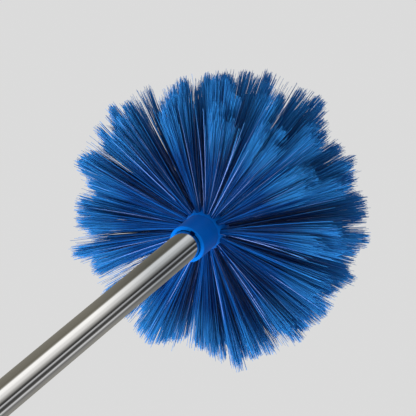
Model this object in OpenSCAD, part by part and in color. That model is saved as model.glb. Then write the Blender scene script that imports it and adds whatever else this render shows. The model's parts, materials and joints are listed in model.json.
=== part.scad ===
// Cobweb brush: a ball of stiff tufts on a two-piece telescopic pole.
// The pole stands along +Z with the head on top. The origin is the middle of the hand grip,
// on the axis of the pole. Sizes are in millimetres and angles in degrees.

/* [Tubes] */
// Outer diameter of the upper tube, which carries the head
upper_tube_d = 22; // [20:0.5:24]
// Wall thickness of both steel tubes
tube_wall = 0.6; // [0.5:0.1:0.9]
// Gap all round between the upper tube and the bore of the lower tube
tube_gap = 0.9; // [0.8:0.1:1.3]
// Length of the upper tube
upper_tube_len = 570; // [450:10:800]
// Length of the lower tube
lower_tube_len = 560; // [450:10:800]
// How far the upper tube can still be drawn out from where it rests
reach_left = 30; // [10:5:60]

/* [Slide bush] */
// Length of the sleeve round the foot of the upper tube
bush_len = 50; // [35:5:70]
// Length of the plug inside the foot of the upper tube
bush_plug_len = 16; // [10:1:24]
// Thickness of the bush under the end of the tube
bush_foot = 2; // [1.5:0.5:3]

/* [Twist lock] */
// Length of the lock body's sleeve over the end of the lower tube
body_sleeve = 34; // [28:1:44]
// Wall of that sleeve
body_wall = 2.2; // [1.8:0.2:3]
// Height of the collar at the foot of the lock body
body_collar = 10; // [8:0.5:14]
// Thickness of the step that stops the end of the lower tube and the slide bush
body_step = 3; // [2:0.5:4]
// Length of the clamp ring
ring_len = 20; // [14:1:26]
// Thickness of the clamp ring at its foot
ring_foot_t = 2.6; // [2:0.2:3]
// Thickness of the clamp ring at its top
ring_top_t = 1.4; // [1:0.1:1.8]
// Height of the clamp ring's foot that the short slits leave whole
ring_band = 4; // [3:0.5:6]
// Number of slits in the clamp ring, of which one runs right through
slit_count = 6; // [4:1:8]
// Width of a slit
slit_w = 1.6; // [1:0.2:2.4]
// Radius of the pins that hold the lock body on the lower tube
lock_pin_r = 1.6; // [1.2:0.1:2]
// Thinnest wall of the nut, over the lock body's sleeve
nut_wall = 3; // [2.4:0.2:4]
// Height of the lip that closes the top of the nut
nut_lip = 3; // [2:0.5:5]
// Number of finger flutes round the nut
flute_count = 14; // [10:1:18]
// Radius of a flute
flute_r = 2.4; // [1.8:0.2:3]
// Depth of a flute
flute_depth = 1.1; // [0.8:0.1:1.4]
// Length over which each end of a flute's cutter runs to a point
flute_run = 5; // [3:0.5:6]

/* [Grip and end] */
// Length of the hand grip
grip_len = 130; // [100:5:180]
// Wall of the hand grip
grip_wall = 2.6; // [2:0.2:4]
// Height of the beads at the ends of the grip above its wall
grip_bead = 1.2; // [0.8:0.2:2]
// Distance between two grooves of the grip
groove_pitch = 8; // [6:0.5:12]
// Radius of a groove's round bottom
groove_r = 1.6; // [1:0.2:2]
// Depth of a groove
groove_depth = 0.9; // [0.6:0.1:1.2]
// Thickness of the end cap's flange
cap_flange = 5; // [4:0.5:8]
// Length of the end cap's plug inside the lower tube
cap_plug_len = 26; // [18:1:36]
// Wall of the end cap's plug
cap_plug_wall = 2; // [1.4:0.2:3]

/* [Hanging loop] */
// Radius of the hole that a hook or peg goes through
loop_hole_r = 5.5; // [4:0.5:7]
// Width of the loop's band round the hole
loop_band = 5; // [4:0.5:7]
// Thickness of the loop along the hole
loop_t = 6; // [4.5:0.5:8]
// Bevel round the outside of the loop
loop_bevel = 0.8; // [0.4:0.1:1.2]
// Radius of the loop's swivel stem
stem_r = 3; // [2.5:0.1:3.6]
// How far the snap head overhangs the stem
snap_lip = 1.2; // [0.8:0.1:1.6]
// Height of the snap head
snap_h = 3.5; // [2.5:0.5:5]
// Width of the slit that lets the snap head close
snap_slit = 1.2; // [0.8:0.1:1.6]

/* [Head socket] */
// Length of the round collar that the pole goes into
socket_len = 23; // [20:1:30]
// Wall of the collar at its mouth
socket_wall = 2.8; // [2:0.2:3.6]
// Gap all round between the upper tube and the mouth of the collar
mouth_gap = 0.3; // [0.3:0.1:0.8]
// How far the end of the upper tube goes into the collar
tube_in_socket = 8; // [6:1:10]
// How far the threaded bore goes on into the hub, beyond the collar
bore_in_hub = 8; // [4:1:9]
// Bevel round the outside of the collar's rim
rim_bevel = 0.7; // [0.4:0.1:1]
// Bevel round the inside of the collar's rim
mouth_bevel = 0.2; // [0.1:0.1:0.5]
// Width of the key notch in the mouth of the collar
notch_w = 4; // [3:0.5:6]
// Depth of the key notch beyond the mouth's bore
notch_deep = 1.4; // [0.8:0.1:1.4]
// Length of the key notch along the collar
notch_len = 7; // [3:0.5:7]

/* [Pole tip] */
// Diameter of the threaded stub, over its crests
thread_d = 17; // [15:0.5:18]
// Thickness of the flange that sits on the end of the upper tube
tip_flange = 1.5; // [1:0.5:2.5]
// Length of the tip's plug inside the upper tube
tip_plug_len = 26; // [18:1:36]
// Radius of the hollow through the tip
tip_hollow_r = 5; // [4:0.5:6]
// Radius of the pins through the tube's wall, at the tip and at the slide bush
tube_pin_r = 1.2; // [1:0.1:1.5]

/* [Hub and tufts] */
// How far the hub's rear edge stands out beyond the collar
hub_step = 0.5; // [0.3:0.1:1]
// Height of one band of tufts along the hub's outline
band_h = 7.4; // [6.8:0.1:8]
// Thickness of the hub's skin that the tufts are set in
skin = 2.5; // [2:0.1:3]
// Lean of the rear band's tufts, measured from straight ahead
rear_angle = 106; // [102:1:110]
// Change of lean from one band to the next
angle_step = 21.75; // [21:0.25:22.5]
// Least spacing of two tufts round a band
tuft_pitch = 6.3; // [6:0.1:7]
// Radius of the round nose at the front of the hub
nose_r = 1.8; // [1.5:0.1:2.2]
// Radius of the ball that the tufts are trimmed to
ball_r = 108; // [90:1:125]
// Distance from the collar to the middle of that ball
ball_ahead = 30; // [20:1:36]
// Share of a tuft's own sector that its strands fan out over
tuft_spread = 0.78; // [0.5:0.02:0.86]
// Fan of a tuft's strands fore and aft
tuft_fan = 9; // [5:1:12]
// Radius of a strand at its root
strand_root_r = 0.5; // [0.4:0.05:0.6]
// Radius of a strand at its tip
strand_tip_r = 0.9; // [0.5:0.05:1.1]
// Unevenness of the strands' lengths
ragged = 4; // [0:1:6]
// Radius of the holes that the tufts are stapled into
tuft_hole_r = 1.7; // [1.4:0.1:1.8]
// Depth of those holes under the hub's skin
tuft_hole_depth = 2.8; // [2:0.1:3]
// Thickness of the flat wire of a staple
staple_t = 0.4; // [0.3:0.1:0.5]
// Width of the flat wire of a staple
staple_w = 1.4; // [1:0.1:1.6]

/* [Clearances] */
// Gap all round between pieces that are pressed or glued together
fit_gap = 0.1; // [0.05:0.01:0.15]
// Gap all round between pieces that turn or slide on each other
run_gap = 0.1; // [0.08:0.01:0.2]
// Gap all round a screwed or squeezed joint
thread_gap = 0.2; // [0.15:0.05:0.3]
// Gap under the hub's skin and between its bands
seat_gap = 0.2; // [0.15:0.05:0.3]
// Gap between faces that meet end to end
face_gap = 0.4; // [0.3:0.1:0.6]

/* [Hidden] */
$fn = 72;

// Radii of the tubes
upper_r = upper_tube_d / 2;
upper_bore_r = upper_r - tube_wall;
lower_bore_r = upper_r + tube_gap;
lower_r = lower_bore_r + tube_wall;

// Heights along the pole
lower_foot_z = -grip_len / 2;
lower_top_z = lower_foot_z + lower_tube_len;
upper_foot_z = lower_top_z - bush_len - reach_left;
upper_top_z = upper_foot_z + upper_tube_len;
mouth_z = upper_top_z - tube_in_socket;
hub_z = mouth_z + socket_len;

// Twist lock
slide_bore_r = upper_r + run_gap;
body_sleeve_r = lower_r + fit_gap + body_wall;
body_foot_z = lower_top_z - body_sleeve;
body_top_z = lower_top_z + body_step;
ring_foot_z = body_top_z + fit_gap;
ring_top_z = ring_foot_z + ring_len;
nut_bore_r = body_sleeve_r + thread_gap;
nut_r = nut_bore_r + nut_wall;
nut_foot_z = body_foot_z + body_collar + face_gap;
nut_top_z = ring_top_z + face_gap + nut_lip;
nut_bevel = 1.2;
seam_bevel = 0.4;

// Pins: each is a pair on the X axis, flush with the outside of what it holds
lock_pin_z = body_foot_z + body_collar / 2;
tip_pin_z = upper_top_z - tube_in_socket / 2;
bush_pin_z = upper_foot_z + bush_plug_len / 2;
pin_in_plug = 3;

// Grip and end cap
grip_r = lower_r + fit_gap + grip_wall;
cap_foot_z = lower_foot_z - cap_flange;
cap_bore_r = stem_r + run_gap;
cap_bevel = 1.5;

// Hanging loop
loop_r = loop_hole_r + loop_band;
loop_disc_h = 2.5;
loop_disc_r = stem_r + 3;
loop_hole_z = cap_foot_z - face_gap - loop_disc_h - loop_r;

// Head socket and pole tip
mouth_bore_r = upper_r + mouth_gap;
socket_r = mouth_bore_r + socket_wall;
thread_r = thread_d / 2;
thread_bore_r = thread_r + thread_gap;
shroud_len = tube_in_socket + tip_flange + face_gap;
stub_len = socket_len + bore_in_hub - shroud_len - face_gap;

// Hub outline: the corners between the bands as [radius, height over the collar], rear to front
band_count = 5;
hub_mid = 12;
nose_proud = 0.3;

function band_angle(k) = rear_angle - k * angle_step;
function band_way(k) = [-cos(band_angle(k)), sin(band_angle(k))];
function band_out(k) = [sin(band_angle(k)), cos(band_angle(k))];
function last_band_h(r) = (r - nose_r) / cos(band_angle(band_count - 1));
function corner(k) =
    k == 0 ? [socket_r + hub_step, 0]
    : let (from = corner(k - 1))
      from + band_way(k - 1) * (k == band_count ? last_band_h(from[0]) : band_h);

// The same corners moved in under the skin, square to the collar at the rear and to the nose in front
function inner_corner(k, deep) =
    let (p = corner(k), arm = p - [0, hub_mid])
    k == 0 ? p - [deep, 0]
    : k == band_count ? p - [0, deep]
    : p - arm * deep / norm(arm);

// Tufts of band k, counted from the rear
function band_mid(k) = (corner(k) + corner(k + 1)) / 2;
function tufts(k) = floor(2 * PI * band_mid(k)[0] / tuft_pitch);
function strands_across(k) = k < 2 ? 4 : 3;
strands_along = 2;
row_twist = 7;
root_draw_in = 0.88;
strand_reach_along = 0.14;

// Strands lie in columns round the band, and each column has a place across its own tuft from -1 to 1
function columns(k) = tufts(k) * strands_across(k);
function across_tuft(k, j) = 2 * (j % strands_across(k)) / (strands_across(k) - 1) - 1;
function tuft_azimuth(k, j) =
    row_twist * k + (floor(j / strands_across(k)) + 0.5) * 360 / tufts(k);
function along_tuft(i) = 2 * i / (strands_along - 1) - 1;
function around(p, a) = [p[0] * cos(a), p[0] * sin(a), p[1]];

// Corner j, i of the net of cells on a band's face, one cell to a strand
function band_from(k) = corner(k) + band_way(k) * seat_gap / 2;
function band_to(k) = corner(k + 1) - band_way(k) * seat_gap / 2;
function net_point(k, j, i) =
    around(band_from(k) + (band_to(k) - band_from(k)) * i / strands_along,
           row_twist * k + j * 360 / columns(k));

// Length of a strand from its root to the ball, along a given direction
function reach(root, way) =
    let (arm = root - [0, 0, ball_ahead], along = arm * way)
    sqrt(along * along - arm * arm + ball_r * ball_r) - along;

// Six points of the strand in cell j, i: three round its root and three round its tip
function strand_points(k, j, i, noise) =
    let (
        a = net_point(k, j, i),
        b = net_point(k, j + 1, i),
        c = net_point(k, j + 1, i + 1),
        d = net_point(k, j, i + 1),
        side = (b - a) / norm(b - a),
        up = (c + d - a - b) / norm(c + d - a - b),
        wide = norm(b - a + c - d) / 2 * strands_across(k),
        place = (across_tuft(k, j) * (strands_across(k) - 1) / strands_across(k)) / 2,
        root = (a + b + c + d) / 4
            - side * wide * place * (1 - root_draw_in)
            - up * norm(d - a) * along_tuft(i) * strand_reach_along,
        azimuth = tuft_azimuth(k, j) + across_tuft(k, j) * tuft_spread * 180 / tufts(k),
        lean = band_angle(k) - along_tuft(i) * tuft_fan / 2,
        way = [sin(lean) * cos(azimuth), sin(lean) * sin(azimuth), cos(lean)],
        tip = root + way * (reach(root, way) + ragged * noise)
    )
    [for (end = [[root, strand_root_r], [tip, strand_tip_r]], t = [210, 330, 90])
        end[0] + end[1] * (side * cos(t) + up * sin(t))];

// One closed skin: the band's net with a strand drawn out of each cell, then its sides and back
function row_points(k) =
    let (
        n = columns(k),
        ring = strands_along + 1,
        noise = rands(-1, 0.4, n * strands_along, k + 1),
        front = inner_corner(k + 1, skin) - band_way(k) * seat_gap / 2,
        rear = inner_corner(k, skin) + band_way(k) * seat_gap / 2
    )
    concat(
        [for (j = [0:n - 1], i = [0:ring + 1])
            i < ring ? net_point(k, j, i)
            : around(i == ring ? front : rear, row_twist * k + j * 360 / n)],
        [for (j = [0:n - 1], i = [0:strands_along - 1])
            each strand_points(k, j, i, noise[j * strands_along + i])]
    );

function quad(a, b, c, d) = [[c, b, a], [d, c, a]];

function row_faces(k) =
    let (n = columns(k), ring = strands_along + 1, step = ring + 2, first = n * step)
    concat(
        [for (j = [0:n - 1], i = [0:strands_along - 1])
            let (
                m = (j + 1) % n,
                a = j * step + i,
                b = m * step + i,
                c = b + 1,
                d = a + 1,
                r = first + (j * strands_along + i) * 6
            )
            each concat(
                [[r + 1, b, a], [r, r + 1, a], [r + 2, c, b], [r + 1, r + 2, b]],
                [[r + 2, d, c], [r, a, d], [r + 2, r, d], [r + 5, r + 4, r + 3]],
                [for (s = [0:2]) each quad(r + s, r + (s + 1) % 3, r + 3 + (s + 1) % 3, r + 3 + s)]
            )],
        [for (j = [0:n - 1], i = [ring - 1:ring + 1])
            let (m = (j + 1) % n, next = (i + 1) % step)
            each quad(j * step + i, m * step + i, m * step + next, j * step + next)]
    );

// Places children at every tuft of band k, with their +Z along the tuft's own direction
module at_tufts(k) {
    mid = band_mid(k);
    for (t = [0:tufts(k) - 1])
        translate([0, 0, hub_z])
            rotate(row_twist * k + (t + 0.5) * 360 / tufts(k))
                translate([mid[0], 0, mid[1]])
                    rotate([0, band_angle(k), 0]) children();
}

module tube(outer_r, bore_r, foot_z, len) {
    translate([0, 0, foot_z])
        rotate_extrude() translate([bore_r, 0]) square([outer_r - bore_r, len]);
}

// A pair of pins on the X axis, from one radius out to another
module pin_pair(r, z, from_r, to_r) {
    for (side = [0, 180])
        rotate(side) translate([from_r, 0, z]) rotate([0, 90, 0]) cylinder(r = r, h = to_r - from_r);
}

// Tuft holder: the collar, the threaded socket and the core under the skin, in one moulding
module brush_block() {
    deep = skin + seat_gap;
    nose = corner(band_count);
    tuft_hole = skin + tuft_hole_depth;
    color("royalblue") difference() {
        translate([0, 0, hub_z]) rotate_extrude() polygon(concat(
            [
                [0, bore_in_hub],
                [thread_bore_r, bore_in_hub],
                [thread_bore_r, shroud_len - socket_len],
                [mouth_bore_r, shroud_len - socket_len],
                [mouth_bore_r, mouth_bevel - socket_len],
                [mouth_bore_r + mouth_bevel, -socket_len],
                [socket_r - rim_bevel, -socket_len],
                [socket_r, rim_bevel - socket_len],
                [socket_r, 0]
            ],
            [for (k = [0:band_count - 1]) inner_corner(k, deep)],
            [
                [nose[0] - seat_gap, nose[1] - deep],
                [nose[0] - seat_gap, nose[1] + nose_proud],
                [0, nose[1] + nose_proud]
            ]
        ));
        for (k = [0:band_count - 1])
            at_tufts(k) translate([0, 0, -tuft_hole]) cylinder(r = tuft_hole_r, h = tuft_hole);
        translate([-notch_w / 2, -mouth_bore_r - notch_deep, mouth_z - 1])
            cube([notch_w, mouth_bore_r + notch_deep, notch_len + 1]);
    }
}

// Flat wire staples, one at the bottom of each tuft hole
module tuft_staples() {
    staple_len = 2 * (tuft_hole_r - fit_gap);
    color("silver") for (k = [0:band_count - 1])
        at_tufts(k)
            translate([-staple_t / 2, -staple_len / 2, -skin - tuft_hole_depth + fit_gap])
                cube([staple_t, staple_len, staple_w]);
}

// One band of the hub's skin with its tufts
module tuft_row(k) {
    color("dodgerblue") translate([0, 0, hub_z])
        polyhedron(points = row_points(k), faces = row_faces(k));
}

// Moulded tip in the top of the upper tube, whose stub screws into the head
module pole_tip() {
    plug_r = upper_bore_r - fit_gap;
    lead_in = 1;
    color("dimgray") difference() {
        translate([0, 0, upper_top_z]) rotate_extrude() polygon([
            [tip_hollow_r, -tip_plug_len],
            [plug_r - lead_in, -tip_plug_len],
            [plug_r, lead_in - tip_plug_len],
            [plug_r, 0],
            [upper_r, 0],
            [upper_r, tip_flange],
            [thread_r, tip_flange],
            [thread_r, tip_flange + stub_len - lead_in],
            [thread_r - lead_in, tip_flange + stub_len],
            [tip_hollow_r, tip_flange + stub_len]
        ]);
        pin_pair(tube_pin_r + fit_gap, tip_pin_z, upper_bore_r - pin_in_plug - fit_gap, upper_r);
    }
}

module upper_tube() {
    color("lightgray") difference() {
        tube(upper_r, upper_bore_r, upper_foot_z, upper_tube_len);
        for (z = [tip_pin_z, bush_pin_z]) pin_pair(tube_pin_r + fit_gap, z, 0, upper_r + 1);
    }
}

module lower_tube() {
    color("lightgray") difference() {
        tube(lower_r, lower_bore_r, lower_foot_z, lower_tube_len);
        pin_pair(lock_pin_r + fit_gap, lock_pin_z, 0, lower_r + 1);
    }
}

// Nylon bush on the foot of the upper tube, which guides it and stops it under the lock's step
module slide_bush() {
    bush_r = lower_bore_r - run_gap;
    plug_r = upper_bore_r - fit_gap;
    plug_wall = pin_in_plug + 1;
    color("whitesmoke") difference() {
        translate([0, 0, upper_foot_z]) rotate_extrude() polygon([
            [plug_r - plug_wall, -bush_foot],
            [bush_r, -bush_foot],
            [bush_r, bush_len],
            [upper_r + fit_gap, bush_len],
            [upper_r + fit_gap, 0],
            [plug_r, 0],
            [plug_r, bush_plug_len],
            [plug_r - plug_wall, bush_plug_len]
        ]);
        pin_pair(tube_pin_r + fit_gap, bush_pin_z, upper_bore_r - pin_in_plug - fit_gap, bush_r + 1);
    }
}

// Short pins that lock the tip and the slide bush to the upper tube
module tube_pins() {
    color("silver") for (z = [tip_pin_z, bush_pin_z])
        pin_pair(tube_pin_r, z, upper_bore_r - pin_in_plug, upper_r - tube_wall / 4);
}

// Pins through the collar of the lock body, which end inside the wall of the lower tube
module lock_pins() {
    color("silver")
        pin_pair(lock_pin_r, lock_pin_z, lower_bore_r + tube_wall / 4, nut_r - fit_gap);
}

// Body of the twist lock, fixed on the end of the lower tube
module lock_body() {
    color("royalblue") difference() {
        rotate_extrude() polygon([
            [lower_r + fit_gap, body_foot_z],
            [nut_r - nut_bevel, body_foot_z],
            [nut_r, body_foot_z + nut_bevel],
            [nut_r, body_foot_z + body_collar - seam_bevel],
            [nut_r - seam_bevel, body_foot_z + body_collar],
            [body_sleeve_r, body_foot_z + body_collar],
            [body_sleeve_r, body_top_z],
            [slide_bore_r, body_top_z],
            [slide_bore_r, lower_top_z],
            [lower_r + fit_gap, lower_top_z]
        ]);
        pin_pair(lock_pin_r + fit_gap, lock_pin_z, 0, nut_r + 1);
    }
}

// Split ring that the cone of the nut squeezes onto the upper tube
module clamp_ring() {
    color("whitesmoke") difference() {
        translate([0, 0, ring_foot_z]) rotate_extrude() polygon([
            [slide_bore_r, 0],
            [slide_bore_r + ring_foot_t, 0],
            [slide_bore_r + ring_top_t, ring_len],
            [slide_bore_r, ring_len]
        ]);
        for (s = [0:slit_count - 1])
            rotate(s * 360 / slit_count)
                translate([0, -slit_w / 2, ring_foot_z + (s == 0 ? -1 : ring_band)])
                    cube([nut_r, slit_w, ring_len + 2]);
    }
}

// Fluted nut that turns on the lock body and squeezes the clamp ring
module lock_nut() {
    flute_z = nut_foot_z + nut_bevel;
    flute_len = nut_top_z - flute_z - nut_bevel;
    color("royalblue") difference() {
        rotate_extrude() polygon([
            [nut_bore_r, nut_foot_z],
            [nut_r - seam_bevel, nut_foot_z],
            [nut_r, nut_foot_z + seam_bevel],
            [nut_r, nut_top_z - nut_bevel],
            [nut_r - nut_bevel, nut_top_z],
            [slide_bore_r + thread_gap, nut_top_z],
            [slide_bore_r + thread_gap, ring_top_z + face_gap],
            [slide_bore_r + ring_top_t + thread_gap, ring_top_z + face_gap],
            [slide_bore_r + ring_foot_t + thread_gap, ring_foot_z + face_gap],
            [nut_bore_r, ring_foot_z + face_gap]
        ]);
        for (f = [0:flute_count - 1])
            rotate(f * 360 / flute_count)
                translate([nut_r + flute_r - flute_depth, 0, flute_z]) rotate_extrude() polygon([
                    [0, 0],
                    [flute_r, flute_run],
                    [flute_r, flute_len - flute_run],
                    [0, flute_len]
                ]);
    }
}

// Soft sleeve over the lower tube, with a bead at each end and round grooves between them
module grip_sleeve() {
    bead_h = 6;
    bevel = 1;
    groove_count = floor((grip_len - 2 * bead_h - 2 * groove_pitch) / groove_pitch);
    color("dimgray") translate([0, 0, lower_foot_z]) rotate_extrude() difference() {
        polygon([
            [lower_r + fit_gap, 0],
            [grip_r + grip_bead - bevel, 0],
            [grip_r + grip_bead, bevel],
            [grip_r + grip_bead, bead_h - bevel],
            [grip_r, bead_h + bevel],
            [grip_r, grip_len - bead_h - bevel],
            [grip_r + grip_bead, grip_len - bead_h + bevel],
            [grip_r + grip_bead, grip_len - bevel],
            [grip_r + grip_bead - bevel, grip_len],
            [lower_r + fit_gap, grip_len]
        ]);
        for (g = [0:groove_count - 1])
            translate([
                grip_r + groove_r - groove_depth,
                grip_len / 2 + (g - (groove_count - 1) / 2) * groove_pitch
            ]) circle(groove_r);
    }
}

// Cap in the foot of the lower tube, with a bearing hole for the loop's stem
module end_cap() {
    plug_r = lower_bore_r - fit_gap;
    lead_in = 1;
    color("royalblue") translate([0, 0, lower_foot_z]) rotate_extrude() polygon([
        [cap_bore_r, -cap_flange],
        [grip_r + grip_bead - cap_bevel, -cap_flange],
        [grip_r + grip_bead, cap_bevel - cap_flange],
        [grip_r + grip_bead, 0],
        [plug_r, 0],
        [plug_r, cap_plug_len - lead_in],
        [plug_r - lead_in, cap_plug_len],
        [plug_r - cap_plug_wall, cap_plug_len],
        [plug_r - cap_plug_wall, 0],
        [cap_bore_r, 0]
    ]);
}

// Hanging loop: a flat eye on a disc, and a split snap head that keeps its stem in the cap
module hang_loop() {
    shoulder = 30;
    stem_top = lower_foot_z + face_gap;
    color("royalblue") difference() {
        union() {
            translate([0, loop_t / 2, loop_hole_z]) rotate([90, 0, 0]) rotate_extrude() polygon([
                [0, 0],
                [loop_r - loop_bevel, 0],
                [loop_r, loop_bevel],
                [loop_r, loop_t - loop_bevel],
                [loop_r - loop_bevel, loop_t],
                [0, loop_t]
            ]);
            translate([0, loop_t / 2 - loop_bevel, loop_hole_z]) rotate([90, 0, 0])
                linear_extrude(loop_t - 2 * loop_bevel) polygon([
                    [-loop_r * cos(shoulder), loop_r * sin(shoulder)],
                    [loop_r * cos(shoulder), loop_r * sin(shoulder)],
                    [loop_disc_r, loop_r + loop_disc_h / 2],
                    [-loop_disc_r, loop_r + loop_disc_h / 2]
                ]);
            translate([0, 0, cap_foot_z - face_gap - loop_disc_h])
                cylinder(r = loop_disc_r, h = loop_disc_h);
            translate([0, 0, cap_foot_z - face_gap - loop_disc_h / 2])
                cylinder(r = stem_r, h = stem_top + snap_h - cap_foot_z + face_gap + loop_disc_h / 2);
            translate([0, 0, stem_top])
                cylinder(r1 = stem_r + snap_lip, r2 = stem_r, h = snap_h);
        }
        translate([0, loop_t, loop_hole_z]) rotate([90, 0, 0])
            cylinder(r = loop_hole_r, h = 2 * loop_t);
        translate([-snap_slit / 2, -loop_disc_r, cap_foot_z + face_gap])
            cube([snap_slit, 2 * loop_disc_r, stem_top + snap_h - cap_foot_z]);
    }
}

brush_block();
tuft_row(0);  // tuft_row_1
tuft_row(1);  // tuft_row_2
tuft_row(2);  // tuft_row_3
tuft_row(3);  // tuft_row_4
tuft_row(4);  // tuft_row_5
tuft_staples();
pole_tip();
upper_tube();
slide_bush();
tube_pins();
lock_nut();
clamp_ring();
lock_body();
lock_pins();
lower_tube();
grip_sleeve();
end_cap();
hang_loop();
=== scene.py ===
"""A cobweb brush: a ball of stiff blue tufts on a two-piece steel pole.

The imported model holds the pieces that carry, fit and move. This script gives every piece its
finish, adds the filaments, the hub's skin and the thread, and sets up the floor, lamps and camera.
"""
import json
import math
from collections import namedtuple

import bpy
import numpy as np
from bpy.props import FloatProperty, FloatVectorProperty, IntProperty, PointerProperty
from mathutils import Matrix, Vector


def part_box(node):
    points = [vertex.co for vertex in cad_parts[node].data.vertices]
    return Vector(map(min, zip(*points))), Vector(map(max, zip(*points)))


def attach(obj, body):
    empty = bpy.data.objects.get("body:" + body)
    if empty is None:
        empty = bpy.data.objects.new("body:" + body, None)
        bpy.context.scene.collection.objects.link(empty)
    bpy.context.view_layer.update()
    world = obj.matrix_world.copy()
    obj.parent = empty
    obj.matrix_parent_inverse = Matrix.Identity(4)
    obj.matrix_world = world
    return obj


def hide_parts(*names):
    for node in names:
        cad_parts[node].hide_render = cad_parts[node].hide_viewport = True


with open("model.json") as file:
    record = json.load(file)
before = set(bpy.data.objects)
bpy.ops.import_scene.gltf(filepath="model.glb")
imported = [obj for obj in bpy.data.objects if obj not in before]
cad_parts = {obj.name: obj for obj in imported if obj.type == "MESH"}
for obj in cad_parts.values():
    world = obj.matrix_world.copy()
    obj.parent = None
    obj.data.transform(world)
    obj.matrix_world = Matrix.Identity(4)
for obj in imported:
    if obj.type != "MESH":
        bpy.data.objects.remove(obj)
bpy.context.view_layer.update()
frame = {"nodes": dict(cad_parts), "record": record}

bl_info = {
    "name": "Cobweb Brush",
    "version": (1, 0, 0),
    "blender": (4, 5, 0),
    "location": "3D View > Sidebar > Brush",
    "description": "Filaments, finishes, lamps and camera for a cobweb brush",
    "category": "Object",
}

MM = 0.001
# Width of the picture in pixels, and of the camera's sensor in millimetres
PICTURE = 416
SENSOR = 36.0

# Height of the collar's mouth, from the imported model
MOUTH_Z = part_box("brush_block")[0].z

# Points nearer than this become one, and so do faces that turn by less than this angle
WELD = 1e-6
FLAT = math.radians(0.5)


class HubSizes(bpy.types.PropertyGroup):
    """The outline of the hub, in bands from the rear to the front, one row of tufts to a band."""

    collar_len: FloatProperty(
        name="Collar length", description="Length of the round collar behind the hub",
        default=23 * MM, unit="LENGTH",
    )
    rear_r: FloatProperty(
        name="Rear radius", description="Radius of the hub where it leaves the collar",
        default=14.4 * MM, unit="LENGTH",
    )
    band_h: FloatProperty(
        name="Band height", description="Height of a band along the hub's outline",
        default=7.4 * MM, unit="LENGTH",
    )
    skin: FloatProperty(
        name="Skin", description="Thickness of the hub's skin", default=2.5 * MM, unit="LENGTH",
    )
    seat_gap: FloatProperty(
        name="Seam", description="Gap between two bands", default=0.2 * MM, unit="LENGTH",
    )
    rear_lean: FloatProperty(
        name="Rear lean", description="Lean of the rear tufts from straight ahead",
        default=math.radians(106), unit="ROTATION",
    )
    lean_step: FloatProperty(
        name="Lean step", description="Change of lean from one band to the next",
        default=math.radians(21.75), unit="ROTATION",
    )
    tuft_pitch: FloatProperty(
        name="Tuft spacing", description="Least spacing of two tufts round a band",
        default=6.3 * MM, unit="LENGTH",
    )
    row_twist: FloatProperty(
        name="Row twist", description="Turn of each band's tufts against the last",
        default=math.radians(7), unit="ROTATION",
    )
    nose_r: FloatProperty(
        name="Nose radius", description="Radius of the round nose at the front",
        default=1.1 * MM, unit="LENGTH",
    )
    bands: IntProperty(name="Bands", description="Number of bands of tufts", default=5, min=1)


class FilamentSizes(bpy.types.PropertyGroup):
    """The filaments of a tuft."""

    thickness: FloatProperty(
        name="Thickness", description="Diameter of a filament", default=0.42 * MM, unit="LENGTH",
    )
    per_tuft: IntProperty(
        name="Per tuft", description="Number of filaments in a tuft", default=400, min=8,
    )
    fan_round: FloatProperty(
        name="Fan round", description="Half angle of a tuft's fan round the pole",
        default=math.radians(8.6), unit="ROTATION",
    )
    fan_along: FloatProperty(
        name="Fan along", description="Half angle of a tuft's fan along the pole",
        default=math.radians(9.0), unit="ROTATION",
    )
    ball_r: FloatProperty(
        name="Ball radius", description="Radius of the ball that the tufts are trimmed to",
        default=109.5 * MM, unit="LENGTH",
    )
    ball_ahead: FloatProperty(
        name="Ball ahead", description="Distance from the collar to the middle of the ball",
        default=30 * MM, unit="LENGTH",
    )
    rounding: FloatProperty(
        name="Rounding", description="How much shorter a tuft's outer filaments are",
        default=6 * MM, unit="LENGTH",
    )
    ragged: FloatProperty(
        name="Ragged", description="Unevenness of the filaments' lengths",
        default=3.0 * MM, unit="LENGTH",
    )
    uneven: FloatProperty(
        name="Uneven", description="Unevenness of the tufts' lengths",
        default=2.0 * MM, unit="LENGTH",
    )
    sway: FloatProperty(
        name="Sway", description="How far a whole tuft may lean off its hole's direction",
        default=math.radians(1.5), unit="ROTATION",
    )
    bow: FloatProperty(
        name="Bow", description="How far a filament bows sideways at its tip",
        default=1.6 * MM, unit="LENGTH",
    )
    hole_r: FloatProperty(
        name="Hole radius", description="Radius of the hole that holds a tuft",
        default=1.9 * MM, unit="LENGTH",
    )
    clumps: IntProperty(
        name="Clumps", description="Number of bundles that a tuft's ends gather into",
        default=4, min=1,
    )
    clump_uneven: FloatProperty(
        name="Clump unevenness", description="Unevenness of the lengths of a tuft's clumps",
        default=3.4 * MM, unit="LENGTH",
    )
    gather: FloatProperty(
        name="Gather", description="How far a filament leans to the middle of its clump",
        default=0.5, subtype="FACTOR", min=0, max=1,
    )
    pushed: FloatProperty(
        name="Pushed forward", description="How far use has bent the rear tufts forward on one side",
        default=math.radians(17), unit="ROTATION",
    )
    pushed_side: FloatProperty(
        name="Pushed side", description="Azimuth of the side where the tufts are pushed forward",
        default=math.radians(-71), unit="ROTATION",
    )
    pushed_share: FloatProperty(
        name="Pushed share", description="Share of that push that each next row gets",
        default=0.82, subtype="FACTOR", min=0, max=1,
    )
    squeezed: FloatProperty(
        name="Squeezed", description="How much narrower the tufts are on the pushed side",
        default=0.45, subtype="FACTOR", min=0, max=1,
    )


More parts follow.
